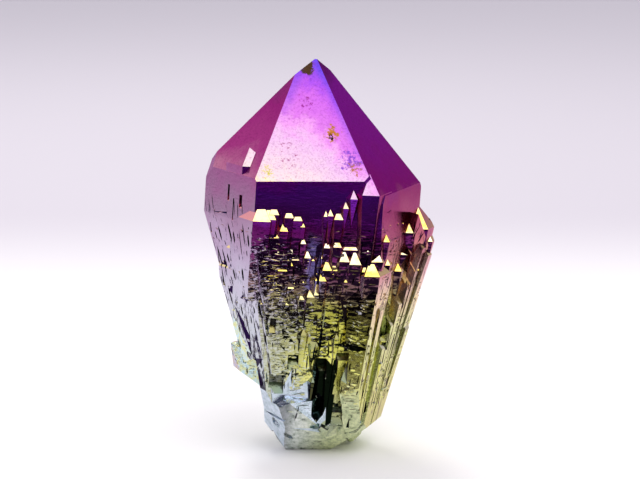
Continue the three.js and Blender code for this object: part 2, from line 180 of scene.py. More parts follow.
def isTaken(taken, across, up, width, length, apart):
    return any(
        abs(across - a) < (width + w) * apart[0] and abs(up - u) < (length + l) * apart[1]
        for a, u, w, l in taken
    )


def takeShape(obj):
    points = np.array([vertex.co[:] for vertex in obj.data.vertices])
    faces = [tuple(face.vertices) for face in obj.data.polygons]
    bpy.data.objects.remove(obj)
    return points, faces


# A face's material slot says what it came from, until faceFacts has read it
faceKinds = ("grown", "slit", "ledge")
kindSlots = [bpy.data.materials.new(kind + "_face") for kind in faceKinds]


def setKind(mesh, kind):
    for slot in kindSlots:
        mesh.materials.append(slot)
    kinds = np.full(len(mesh.polygons), faceKinds.index(kind), dtype=np.int32)
    mesh.polygons.foreach_set("material_index", kinds)


def meshOf(name, copies, kind):
    points, faces, start = [], [], 0
    for copyPoints, copyFaces in copies:
        points.append(toStone(copyPoints))
        faces.extend(tuple(i + start for i in face) for face in copyFaces)
        start += len(copyPoints)
    mesh = bpy.data.meshes.new(name)
    mesh.from_pydata(np.concatenate(points).tolist(), [], faces)
    obj = bpy.data.objects.new(name, mesh)
    bpy.context.scene.collection.objects.link(obj)
    setKind(mesh, kind)
    selectOnly(obj)
    bpy.ops.object.mode_set(mode="EDIT")
    bpy.ops.mesh.select_all(action="SELECT")
    bpy.ops.mesh.normals_make_consistent(inside=False)
    bpy.ops.object.mode_set(mode="OBJECT")
    return obj


def combine(stone, copies, operation, kind):
    if not copies:
        return
    tool = meshOf("growth_batch", copies, kind)
    before = len(stone.data.polygons)
    for solver in ("MANIFOLD", "EXACT"):  # the slower one only where the first leaves the stone as it was
        modifier = stone.modifiers.new("grow", "BOOLEAN")
        modifier.operation = operation
        modifier.solver = solver
        modifier.object = tool
        selectOnly(stone)
        bpy.ops.object.modifier_apply(modifier=modifier.name)
        stone.modifiers.clear()
        if len(stone.data.polygons) != before:
            break
    bpy.data.objects.remove(tool)


def treeOf(stone):
    return BVHTree.FromObject(stone, bpy.context.evaluated_depsgraph_get())


mergeWithin = 2e-8  # m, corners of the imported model's loose triangles that are one corner


def stoneBody():
    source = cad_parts["aura_quartz_point"]
    stone = bpy.data.objects.new("quartz_point_surface", source.data.copy())
    bpy.context.scene.collection.objects.link(stone)
    stone.data.materials.clear()
    setKind(stone.data, "grown")
    merged = bmesh.new()
    merged.from_mesh(stone.data)
    bmesh.ops.remove_doubles(merged, verts=merged.verts, dist=mergeWithin)
    merged.to_mesh(stone.data)
    merged.free()
    return stone


# Growth ledges run across every side in wavering rows, each a stack of very thin layers that ended there.
# Lengths are in mm here and in the dictionaries of the other growths
ledges = {
    "seed": 11,
    "pieces": 5,  # along each ledge
    "rowPitch": 0.62,
    "firstRow": 0.1,  # in rows
    "length": (0.4, 1.7),
    "height": (0.14, 0.34),
    "proud": (0.015, 0.055),
    "sunk": 0.3,
    "footSunk": 0.03,
    "seatShare": 0.9,  # of the length, which has to stand on even ground
    "layers": 3,
    "gap": 0.25,
    "skew": 0.05,
    "endsThinner": 0.85,
    "ripple": 0.35,  # how much the ridge comes and goes
    "rippleOften": 9,
    "rippleStart": (0, 6),
    # waves of a row: how high, then how fast they run across and up the side, and their share of its phase
    "waves": ((0.13, 1.1, 0.4, 1), (0.07, 2.7, -0.7, 2)),
    # side: half width, then crystal heights and how much of the side the ledges cover there
    "front": (6.9, ((7, 0.9), (14, 0.95), (21, 0.9), (24, 0.65), (27.5, 0.16), (29, 0))),
    "frontRight": (6.6, ((7, 0.4), (20, 0.35), (26, 0.2), (30, 0))),
    "frontLeft": (6.6, ((8, 0.1), (18, 0.08), (26, 0.04), (31, 0))),
    "backLeft": (6.6, ((8, 0.7), (20, 0.7), (27, 0.3), (30, 0))),
    "backRight": (6.6, ((8, 0.7), (20, 0.7), (27, 0.3), (30, 0))),
    "back": (6.9, ((8, 0.8), (20, 0.8), (26, 0.4), (30, 0))),
}


def ledgeShape():
    # a three-sided bar along X: its ridge stands out, its lower edge is near the face and its root lies deep
    bpy.ops.mesh.primitive_cylinder_add(vertices=3, radius=1, depth=1, rotation=(0, math.pi / 2, 0))
    bar = bpy.context.object
    bpy.ops.object.transform_apply(location=True, rotation=True, scale=True)
    selectOnly(bar)
    bpy.ops.object.mode_set(mode="EDIT")
    bpy.ops.mesh.select_mode(type="EDGE")
    bpy.ops.mesh.select_all(action="DESELECT")
    bpy.ops.object.mode_set(mode="OBJECT")
    for edge in bar.data.edges:
        ends = [bar.data.vertices[i].co for i in edge.vertices]
        edge.select = abs(ends[0].x - ends[1].x) > 0.5
    bpy.ops.object.mode_set(mode="EDIT")
    bpy.ops.mesh.subdivide(number_cuts=ledges["pieces"] - 1)
    bpy.ops.object.mode_set(mode="OBJECT")
    return takeShape(bar)


def waver(across, up, phase):
    return sum(size * np.sin(x * across + y * up + share * phase) for size, x, y, share in ledges["waves"])


def ledgeOn(seat, points, middle, up, width, height, chance):
    proud = chance.uniform(*ledges["proud"])
    along = points[:, 0]
    fade = 1 - ledges["endsThinner"] * np.abs(2 * along) ** 3
    skew = chance.uniform(-ledges["skew"], ledges["skew"])
    start = chance.uniform(*ledges["rippleStart"])
    stand = proud * fade * (1 + ledges["ripple"] * np.sin(ledges["rippleOften"] * along + start))
    ridge = points[:, 2] > 0.6
    foot = points[:, 2] < -0.6
    phase = crystal["sides"][seat["side"]]
    wave = waver(middle + along * width, up, phase) - waver(middle, up, phase)
    level = np.where(ridge, 0, np.where(foot, -height * fade, (stand + ledges["sunk"]) / tipRise))
    placed = np.empty_like(points)
    placed[:, 0] = along * width
    placed[:, 1] = level + wave + skew * along * width
    placed[:, 2] = np.where(ridge, stand, np.where(foot, -ledges["footSunk"], -ledges["sunk"]))
    return putOn(seat, placed)


def ledgeCopies(tree, layer, chance, shape):
    copies = []
    points, faces = shape
    for side in crystal["sides"]:
        half, cover = ledges[side]
        heights = [pair[0] for pair in cover]
        amounts = [pair[1] for pair in cover]
        up = heights[0] + ledges["rowPitch"] * (layer / ledges["layers"] + ledges["firstRow"])
        while up < heights[-1]:
            across = -half + chance.random()
            while across < half:
                width = chance.uniform(*ledges["length"])
                height = chance.uniform(*ledges["height"])
                wanted = chance.random() < np.interp(up, heights, amounts)
                middle = across + width / 2
                even = width * ledges["seatShare"]
                seat = seatFor(tree, side, middle, up, even, height) if wanted else None
                if seat:
                    copies.append((ledgeOn(seat, points, middle, up, width, height, chance), faces))
                across += width + ledges["gap"]
            up += ledges["rowPitch"]
    return copies


# Small tips stand out of the sides as short columns with the same six tip faces as the point itself
tips = {
    "seed": 23,
    "triesEach": 3,
    "smallFirst": 2,  # over 1 makes more of them small
    "flat": 0.12,
    "apart": (1, 2),  # how many rooms across and up
    "room": 2.2,  # in radii, as the next five are
    "seatWidth": 2,
    "seatHeight": 3,
    "length": (1.6, 4.5),
    "deep": (0.35, 0.7),  # where the column's axis lies
    "rootDeeper": 0.9,
    "turnDeg": 4,
    # side: how many, half width, lowest and highest place, least and most radius
    "front": (30, 6.2, 9.0, 27.6, 0.08, 0.2),
    "frontRight": (8, 5.8, 9.0, 28.5, 0.1, 0.24),
    "frontLeft": (3, 5.8, 9.0, 29.5, 0.1, 0.2),
    "backLeft": (24, 5.8, 9.0, 28.5, 0.1, 0.3),
    "backRight": (24, 6.0, 9.0, 28.5, 0.1, 0.3),
    "back": (30, 6.0, 9.0, 28.5, 0.1, 0.3),
}


def tipShape():
    # a six-sided column up Y with its own six tip faces: a side faces out, and is 1 from the middle
    corner = 1 / math.cos(math.pi / 6)
    bpy.ops.mesh.primitive_cylinder_add(vertices=6, radius=corner, depth=1, rotation=(math.pi / 2, 0, 0))
    column = bpy.context.object
    bpy.ops.object.transform_apply(location=True, rotation=True, scale=True)
    selectFaces(column, lambda face: face.normal.y > 0.9)
    bpy.ops.mesh.extrude_region_move(TRANSFORM_OT_translate={"value": (0, 1 / tipRise, 0)})
    bpy.ops.mesh.merge(type="CENTER")
    bpy.ops.object.mode_set(mode="OBJECT")
    points, faces = takeShape(column)
    points[:, 1] -= 0.5
    points[:, 0], points[:, 2] = turnedBy(math.radians(30), points[:, 0], points[:, 2])
    return points, faces


def tipOn(seat, points, radius, chance):
    length = radius * chance.uniform(*tips["length"])
    placed = points * radius
    placed[:, 2] -= radius * chance.uniform(*tips["deep"])
    root = points[:, 1] < -0.5
    placed[root, 1] = -length
    placed[root, 2] -= radius * tips["rootDeeper"]
    turn = math.radians(chance.gauss(0, tips["turnDeg"]))
    placed[:, 0], placed[:, 1] = turnedBy(turn, placed[:, 0], placed[:, 1])
    return putOn(seat, placed, followUp=False)


def tipCopies(tree, chance, shape):
    copies = []
    points, faces = shape
    for side in crystal["sides"]:
        count, half, bottom, top, least, most = tips[side]
        taken = []
        tries = count * tips["triesEach"]
        while len(taken) < count and tries > 0:
            tries -= 1
            radius = least + (most - least) * chance.random() ** tips["smallFirst"]
            across, up = chance.uniform(-half, half), chance.uniform(bottom, top)
            around = radius * tips["room"]
            if isTaken(taken, across, up, around, around, tips["apart"]):
                continue
            width, height = radius * tips["seatWidth"], radius * tips["seatHeight"]
            seat = seatFor(tree, side, across, up, width, height, flat=tips["flat"])
            if seat:
                taken.append((across, up, around, around))
                copies.append((tipOn(seat, points, radius, chance), faces))
    return copies


# Flat flakes: layers that ended all round, each tilted a little, so neighbours mirror different things
flakes = {
    "seed": 37,
    "cell": (0.85, 0.62),
    "nextRow": 0.5,  # in cells, how far every other row is moved along
    "nextLayer": 0.3,
    "width": (0.35, 0.9),
    "height": (0.2, 0.55),
    "proud": (0.015, 0.06),
    "sunk": 0.25,
    "rim": (0.86, 0.7, 1),  # the top against the root, which bevels the rim
    "flat": 0.06,
    "turn": 0.4,
    "tiltDeg": 8,
    "layers": 2,
    # side: half width, then crystal heights and how much of the side the flakes cover there
    "front": (6.7, ((6.5, 0.8), (12, 0.75), (22, 0.6), (26, 0.25), (28, 0))),
    "frontRight": (6.4, ((7, 0.3), (22, 0.3), (27, 0.1), (29, 0))),
    "frontLeft": (6.4, ((7, 0.1), (22, 0.1), (27, 0.05), (30, 0))),
    "backLeft": (6.4, ((7, 0.6), (20, 0.5), (26, 0.2), (29, 0))),
    "backRight": (6.4, ((7, 0.6), (20, 0.5), (26, 0.2), (29, 0))),
    "back": (6.7, ((7, 0.6), (20, 0.5), (26, 0.2), (29, 0))),
}


def flakeShape():
    # a seven-sided flake with a bevelled rim
    bpy.ops.mesh.primitive_cylinder_add(vertices=7, radius=0.5, depth=2)
    flake = bpy.context.object
    selectFaces(flake, lambda face: face.normal.z > 0.9)
    bpy.ops.transform.resize(value=flakes["rim"])
    bpy.ops.object.mode_set(mode="OBJECT")
    return takeShape(flake)


def flakeOn(seat, points, width, height, chance):
    proud = chance.uniform(*flakes["proud"])
    x, y = turnedBy(chance.uniform(-flakes["turn"], flakes["turn"]), points[:, 0], points[:, 1])
    top = points[:, 2] > 0
    placed = np.empty_like(points)
    placed[:, 0] = x * width
    placed[:, 1] = y * height
    placed[:, 2] = np.where(top, proud, -flakes["sunk"])
    tilt = [math.tan(math.radians(chance.gauss(0, flakes["tiltDeg"]))) for _ in range(2)]
    placed[:, 2] += np.where(top, tilt[0] * placed[:, 0] + tilt[1] * placed[:, 1], 0)
    return putOn(seat, placed)


def flakeCopies(tree, layer, chance, shape):
    copies = []
    points, faces = shape
    stepAcross, stepUp = flakes["cell"]
    for side in crystal["sides"]:
        half, cover = flakes[side]
        heights = [pair[0] for pair in cover]
        amounts = [pair[1] for pair in cover]
        row = 0
        up = heights[0] + stepUp * layer / flakes["layers"]
        while up < heights[-1]:
            across = -half + stepAcross * (flakes["nextRow"] * (row % 2) + flakes["nextLayer"] * layer)
            while across < half:
                width, height = chance.uniform(*flakes["width"]), chance.uniform(*flakes["height"])
                wanted = chance.random() < np.interp(up, heights, amounts)
                seat = seatFor(tree, side, across, up, width, height, flat=flakes["flat"]) if wanted else None
                if seat:
                    copies.append((flakeOn(seat, points, width, height, chance), faces))
                across += stepAcross
            row += 1
            up += stepUp
    return copies


# Slits: narrow gaps left between layers that grew side by side, most of them beside the front
slits = {
    "seed": 51,
    "triesEach": 3,
    "bottom": (0.45, 0.8, 1),  # the bottom of a slit against its opening
    "above": 0.4,  # how far the cutting blade stands out of the face
    "depth": (0.25, 0.6),
    "narrowAbove": 27,  # the crystal height where the slits thin out towards the shoulder
    "narrowBy": (0.45, 0.7),  # and what is left of their width and length
    "lowFirst": 1.2,  # over 1 puts more of them low
    "apart": (0.9, 0.55),  # in widths across and lengths up
    "flat": 0.2,
    # side: how many, half width, lowest, highest, widths, lengths, lean at the middle and more lean per mm
    "frontLeft": (170, 6.3, 8.5, 30.0, (0.12, 0.5), (0.4, 3.4), -0.2, 0.03),
    "front": (95, 6.4, 8.0, 26.0, (0.1, 0.28), (0.5, 2.2), 0.0, 0.03),
    "frontRight": (170, 6.4, 7.0, 26.5, (0.14, 0.42), (0.6, 3.6), 0.2, 0.03),
    "backLeft": (80, 6.0, 8.5, 28.0, (0.12, 0.3), (0.5, 2.6), -0.15, 0.03),
    "backRight": (80, 6.0, 8.5, 28.0, (0.12, 0.3), (0.5, 2.6), 0.15, 0.03),
    "back": (80, 6.2, 8.5, 28.0, (0.12, 0.3), (0.5, 2.6), 0.0, 0.03),
}


def slitShape():
    # a blade with pointed ends along Y, wide at the face and narrow below
    bpy.ops.mesh.primitive_cylinder_add(vertices=6, radius=0.5, depth=2)
    blade = bpy.context.object
    selectFaces(blade, lambda face: face.normal.z < -0.9)
    bpy.ops.transform.resize(value=slits["bottom"])
    bpy.ops.object.mode_set(mode="OBJECT")
    return takeShape(blade)


def slitCopies(tree, chance, shape):
    copies = []
    points, faces = shape
    for side in crystal["sides"]:
        count, half, bottom, top, widths, lengths, lean, fan = slits[side]
        taken = []
        tries = count * slits["triesEach"]
        while len(taken) < count and tries > 0:
            tries -= 1
            across = chance.uniform(-half, half)
            up = bottom + (top - bottom) * chance.random() ** slits["lowFirst"]
            width, length = chance.uniform(*widths), chance.uniform(*lengths)
            if up > slits["narrowAbove"]:
                width, length = width * slits["narrowBy"][0], length * slits["narrowBy"][1]
            if isTaken(taken, across, up, width, length, slits["apart"]):
                continue
            seat = seatFor(tree, side, across, up, width, length, flat=slits["flat"])
            if seat is None:
                continue
            taken.append((across, up, width, length))
            depth = chance.uniform(*slits["depth"])
            placed = np.empty_like(points)
            placed[:, 1] = points[:, 1] * length
            placed[:, 0] = points[:, 0] * width + (lean + fan * across) * placed[:, 1]
            placed[:, 2] = np.where(points[:, 2] > 0, slits["above"], -depth)
            copies.append((putOn(seat, placed), faces))
    return copies


# Cracks and holes that stand out, all in the front: across, up, width, length, degrees right of upright and
# depth. They cross uneven and steep ground
cracks = {
    "side": "front",
    "flat": 5,
    "facingLeast": 0.4,
    "places": (
        (-2.9, 5.4, 0.5, 2.5, -80, 0.5), (-0.9, 6.4, 0.25, 2.5, 8, 0.5), (-1.4, 3.0, 0.7, 1.5, -58, 0.6),
        (6.8, 7.1, 0.9, 2.1, 3, 0.7), (1.0, 9.4, 1.2, 5.8, 3, 1.1), (1.5, 6.9, 1.9, 3.6, 2, 1.3),
        (1.2, 15.3, 0.4, 3.2, 2, 0.45), (2.2, 13.9, 0.3, 2.4, -4, 0.4), (0.5, 13.2, 0.3, 2.6, 3, 0.4),
    ),
}


def crackCopies(tree, shape):
    copies = []
    points, faces = shape
    ground = {"flat": cracks["flat"], "facingLeast": cracks["facingLeast"]}
    for across, up, width, length, leanDeg, depth in cracks["places"]:
        seat = seatFor(tree, cracks["side"], across, up, width, length, **ground)
        if seat is None:
            print("no place for the crack at", across, up)
            continue
        placed = np.empty_like(points)
        placed[:, 0], placed[:, 1] = turnedBy(
            -math.radians(leanDeg), points[:, 0] * width, points[:, 1] * length,
        )
        placed[:, 2] = np.where(points[:, 2] > 0, slits["above"], -depth)
        copies.append((putOn(seat, placed), faces))
    return copies


# Broken and differently grown parts near the foot, given as the point stands, in mm
low = {
    "footTop": (2.6, 3.6),  # below this all of the stone is the break
    "breakTop": (7, 9),  # and below this the faces that look down are
    "looksDown": (0.25, 0.4),
    "block": {
        "middle": (-3.6, -5.6, 5.4),
        "radius": 4.4,
        # the ways its faces look, in degrees round from the right and degrees up
        "looks": ((-106, 10), (-62, 4), (-60, 62), (-150, 50), (180, 0), (-135, -40), (189, -36)),
        "alike": 0.93,  # least cosine between a face's own way and one of them
    },
    "growth": {"from": (-4.6, -2.0, 8.0), "tip": (-10.2, -4.4, 12.8), "radius": 2.5, "start": 2.6},
    # deep, low on the front, and painted dark with shade
    "channel": {"across": (-1.15, 1.5), "up": (5.3, 11.8), "inFrontOf": -2.5, "looksBack": 0.3, "dark": 0.9},
}
# The hollowed sides, whose faces behind the main face take painted shade, in mm along the crystal: their main
# face's distance from the c axis, its lean in degrees and the height below which it leans
sunk = {
    "front": (9.65, 6, 29),
    "frontRight": (10.8, 3, 25),
    "half": 5.6,
    "up": (5.2, 32),
    "depth": (0.25, 0.55),  # mm behind the main face, from where the painted shade starts to where it is darkest
    # right of the channel the hollow is shallow and takes less painted shade
    "bright": {"across": (3.2, 6.4), "below": 15, "inFrontOf": -5, "share": 0.3},
}
# Painted shade in hollows: each face sends out a cone of short rays, and is in a hollow, which the colour
# darkens, where most of them hit
shade = {"reach": 2.2, "start": 0.02, "tiltDeg": 52, "rays": 6, "open": 0.35, "closed": 0.9}
# What counts as the tip or as one of the sides, by how far a face looks that way: from, and fully at
sideways = {
    "onTip": (0.3, 0.5),
    "onLeft": (0.35, 0.65),
    "onRight": (0.35, 0.65),
    "onBack": (0.1, 0.6),
    # the corner between the front and the right side belongs to the right too, where it turns off the front
    "rightCorner": {"across": (6.9, 7.3), "share": 0.8, "offFront": -0.99},
}


def hollowOf(stone, centers, normals):
    # the share of the view that the stone itself blocks, at each face, which is painted as shade
    tree = treeOf(stone)
    reach = shade["reach"] * mm
    tilt = math.radians(shade["tiltDeg"])
    blocked = np.zeros(len(centers))
    side = np.cross(normals, np.where(np.abs(normals[:, 2:3]) < 0.9, [[0, 0, 1]], [[1, 0, 0]]))
    side /= np.linalg.norm(side, axis=1)[:, None] + 1e-12
    other = np.cross(normals, side)
    starts = centers + normals * shade["start"] * mm
    for ray in range(shade["rays"]):
        turn = 2 * math.pi * ray / shade["rays"]
        level = math.cos(turn) * side + math.sin(turn) * other
        ways = normals * math.cos(tilt) + level * math.sin(tilt)
        for i, (start, way) in enumerate(zip(starts.tolist(), ways.tolist())):
            if tree.ray_cast(start, way, reach)[0] is not None:
                blocked[i] += 1 / shade["rays"]
    return smoothStep(shade["open"], shade["closed"], blocked)


def sunkOf(local):
    # how much painted shade a face takes for lying behind the main face of its side
    hollow = np.zeros(len(local))
    for name in ("front", "frontRight"):
        distance, leanDeg, leanFrom = sunk[name]
        out, along = sideAxes(name)
        leaned = np.maximum(0, leanFrom - local[:, 2]) * math.tan(math.radians(leanDeg))
        within = (np.abs(local @ along) < sunk["half"]) & between(local[:, 2], sunk["up"])
        hollow = np.maximum(hollow, within * smoothStep(*sunk["depth"], distance - leaned - local @ out))
    return hollow


def between(values, limits):
    return (values > limits[0]) & (values < limits[1])


def isBright(local):
    bright = sunk["bright"]
    forward = local[:, 1] < bright["inFrontOf"]
    return between(local[:, 0], bright["across"]) & (local[:, 2] < bright["below"]) & forward


def isChannel(places, normals):
    channel = low["channel"]
    forward = (places[:, 1] < channel["inFrontOf"]) & (normals[:, 1] < channel["looksBack"])
    return forward & between(places[:, 0], channel["across"]) & between(places[:, 2], channel["up"])


def isBlock(places, normals):
    block = low["block"]
    near = np.linalg.norm(places - np.array(block["middle"]), axis=1) < block["radius"]
    alike = np.zeros(len(places), dtype=bool)
    for around, up in block["looks"]:
        around, up = math.radians(around), math.radians(up)
        way = np.array([math.cos(around) * math.cos(up), math.sin(around) * math.cos(up), math.sin(up)])
        alike |= normals @ way > block["alike"]
    return near & alike


def isGrowth(places):
    growth = low["growth"]
    along = np.array(growth["tip"]) - np.array(growth["from"])
    along = along / np.linalg.norm(along)
    reach = places - np.array(growth["from"])
    length = reach @ along
    aside = np.linalg.norm(reach - np.outer(length, along), axis=1)
    return (aside < growth["radius"]) & (length > growth["start"])


def faceVectors(mesh, name):
    values = np.zeros(len(mesh.polygons) * 3)
    mesh.polygons.foreach_get(name, values)
    return values.reshape(-1, 3)


def faceFacts(stone):
    # what each face is, for the material: where it looks, what it is part of and how deep in a hollow it is,
    # which sets its painted shade
    mesh = stone.data
    count = len(mesh.polygons)
    kinds = np.zeros(count, dtype=np.int32)
    mesh.polygons.foreach_get("material_index", kinds)
    normals, centers = faceVectors(mesh, "normal"), faceVectors(mesh, "center")
    local = toCrystal(centers)
    places = centers / mm - shift
    looks = normals @ turnArray
    flat = np.linalg.norm(looks[:, :2], axis=1) + 1e-6
    channel = isChannel(places, normals)
    hollow = np.maximum(hollowOf(stone, centers, normals), sunkOf(local))
    hollow = np.where(isBright(local), sunk["bright"]["share"] * hollow, hollow)
    hollow = np.where(channel, np.maximum(hollow, low["channel"]["dark"]), hollow)
    foot = 1 - smoothStep(*low["footTop"], places[:, 2])
    under = (1 - smoothStep(*low["breakTop"], places[:, 2])) * smoothStep(*low["looksDown"], -normals[:, 2])
    corner = sideways["rightCorner"]
    offFront = looks[:, 1] / flat > corner["offFront"]
    rightCorner = corner["share"] * smoothStep(*corner["across"], local[:, 0]) * offFront
    facts = {
        "onTip": smoothStep(*sideways["onTip"], looks[:, 2]),
        "onLeft": smoothStep(*sideways["onLeft"], -looks[:, 0] / flat),
        "onRight": np.maximum(smoothStep(*sideways["onRight"], looks[:, 0] / flat), rightCorner),
        "onBack": smoothStep(*sideways["onBack"], looks[:, 1] / flat),
        "inSlit": kinds == faceKinds.index("slit"),
        "onLedge": kinds == faceKinds.index("ledge"),
        "inHollow": hollow,
        "onFoot": np.maximum(foot, np.where(channel, 0, under)),
        "onBlock": isBlock(places, normals) & ~channel,
        "onGrowth": isGrowth(places),
    }
    for name, values in facts.items():
        attribute = mesh.attributes.new(name, "FLOAT", "FACE")
        attribute.data.foreach_set("value", values.astype(np.float32))
    mesh.materials.clear()
    mesh.polygons.foreach_set("material_index", np.zeros(count, dtype=np.int32))
    mesh.polygons.foreach_set("use_smooth", np.zeros(count, dtype=bool))
    return tuple(facts)


def addNode(tree, kind, settings=None):
    # a setting is a value, or a node or socket to link
    node = tree.nodes.new("ShaderNode" + kind)
    for key, value in (settings or {}).items():
        if isinstance(value, bpy.types.Node):
            value = next(socket for socket in value.outputs if socket.enabled)
        if isinstance(value, bpy.types.NodeSocket):
            tree.links.new(value, node.inputs[key])
        elif key == "stops":
            elements = node.color_ramp.elements
            while len(elements) < len(value):
                elements.new(1.0)
            for element, (position, color) in zip(elements, value):
                element.position = position
                element.color = color
        elif isinstance(key, int) or key in node.inputs:
            node.inputs[key].default_value = value
        else:
            setattr(node, key, value)
    return node


def newMaterial(name):
    material = bpy.data.materials.new(name)
    material.use_nodes = True
    material.node_tree.nodes.clear()
    return material


smooth = {"interpolation_type": "SMOOTHSTEP"}  # a range that fades in and out softly
blend = {"data_type": "RGBA"}  # a mix of two colours

# Quartz with a metal film only tens of nanometres thick, laid on in a vacuum: the eye sees a mirror whose
# colour follows the film. Heights and places are in mm along the crystal's own axes
film = {
    "top": 50,  # the height at the right-hand end of each run of colours
    "sway": 7.0,  # how far the colours wander up and down
    "roughness": 0.17,
    "edgeOn": (0.7, 0.5, 0.7, 1),  # how much red, green and blue is mirrored where it is seen edge on
    "bump": {"Strength": 0.35, "Distance": 0.06 * mm},
    "grainRelief": 1.5,  # how much more the rows and lumps stand out than the grit
    "colors": {
        # the pale colours low on the front tip faces are partly the film's own colour and partly a painted
        # highlight
        "tipFront": (
            (8, "66786c"), (14, "787c54"), (18, "989058"), (20.5, "e4dc9c"), (23, "ecd458"),
            (25.5, "f0e8cc"), (27, "ecc858"), (29.5, "f4e0a8"), (31, "d8bc98"), (32.2, "bcacae"),
            (34.5, "b69eb2"), (36.5, "b494b6"), (38, "b680b8"), (39.3, "a860b4"), (41.5, "a054b4"),
            (43.5, "8440b4"), (45.4, "5c3ab4"),
        ),
        "tipLeft": (
            (8, "c8e8f0"), (14, "f0f4c8"), (24, "f8e0a0"), (29, "e8a0a0"), (32, "c4809c"), (36, "a83c80"),
            (41, "9a2878"), (43.6, "8a3070"), (44.6, "40201a"),
        ),
        "tipRight": (
            (8, "c8e8f0"), (14, "f0f4c8"), (24, "e8d090"), (29, "c07080"), (32, "901078"), (38, "8c1296"),
            (43, "88129c"), (46, "50104c"),
        ),
        "front": (
            (4, "a8b898"), (8, "f0f0a0"), (12.5, "f0f074"), (17, "b4b44c"), (20.5, "84705c"), (24, "743468"),
            (27.5, "5c105c"), (30, "702094"), (32, "7622ac"), (33, "8818a8"),
        ),
        "left": (
            (4, "c4dce0"), (10, "b8c4c8"), (18, "c4c8d4"), (24, "b0a0b8"), (29, "9c7c98"), (33, "a46494"),
            (36, "a04080"),
        ),
        "right": (
            (4, "d8e488"), (9, "e0f084"), (15, "e4f4a0"), (18.5, "f4ecac"), (21.5, "e4c4ac"), (24, "cc8c80"),
            (27, "b06070"), (31, "983860"), (35, "802880"),
        ),
        "back": (
            (4, "c0d0c8"), (10, "c8c880"), (17, "c8b860"), (22, "b87850"), (27, "943c68"), (32, "68289a"),
        ),
    },
    # on the front tip face the bands fall to the right, more so past the middle, and their edges are ragged
    "tipBand": {"slope": 0.25, "more": 0.55, "past": -0.7, "from": 30, "to": 32, "ragged": 5.0},
    # and its two upper edges are blue: where the edge meets the axis, how wide, how much, and its hand
    "tipEdge": {
        "color": "3c34ac",
        "up": (37.5, 41.5),
        "wander": 1.2,
        "edges": ((45.4, 0.9, 0.3, -1), (49.1, 1.2, 0.4, 1)),
    },
    # thin spots on the main tip faces, where the noise is high: colour, from, to, and how much
    "tarnish": (("b494b4", 0.45, 0.7, 0.45, "MULTIPLY"), ("4c2044", 0.72, 0.75, 0.75, "MIX")),
    # low on the front the film is paler and greyer towards the left
    "lowLeft": {"color": "8e9498", "across": (2, -5), "up": (21, 15), "most": 0.65},
    # a violet band up the front
    "veil": {
        "color": "6c6cac",
        "across": -0.2,
        "half": (1.5, 0.4),
        "wander": 1.6,
        "up": (19, 27.5),
        "fade": 2,
        "most": 0.7,
    },
}
# Groups of specks on the front tip face: across and height of the middle, radius, colour and how few they are
tipMarks = {
    "groups": (
        ((3.4, 35.3), 3.0, "7040a0", 0.74), ((-6.0, 33.9), 1.8, "a8a050", 0.76),
        ((-1.6, 41.0), 3.0, "7a2878", 0.80), ((1.3, 38.0), 1.7, "94602c", 0.70),
        ((3.6, 34.6), 2.2, "8c5a30", 0.78), ((-3.5, 36.0), 5.5, "8c5878", 0.84),
        ((-1.2, 44.7), 1.0, "3a2a1c", 0.5), ((1.2, 37.7), 0.6, "241410", 0.66),
    ),
    "middle": 0.3,  # how many more there are in the middle of a group
    "soft": 0.05,  # the soft edge of a speck
    "inner": 0.7,  # of a group's radius, where the specks begin to fade out
}
# Noises over the whole stone; a scale is in grains per mm
noises = {
    "cloud": {"Scale": 0.28, "Detail": 5},  # grains of 3.6 mm
    "fine": {"Scale": 0.9, "Detail": 6, "Roughness": 0.7},  # 1.1 mm
    "speckle": {"Scale": 2.4, "Detail": 6, "Roughness": 0.75},  # 0.4 mm
    "dust": {"Scale": 4.0, "Detail": 4, "Roughness": 0.7},  # 0.25 mm
    "crumbs": {"Scale": 1.6, "Detail": 7, "Roughness": 0.7},  # 0.6 mm, on the break
    "grit": {"Scale": 3.0, "Detail": 6},  # 0.3 mm, felt as a slight unevenness of the mirror
}
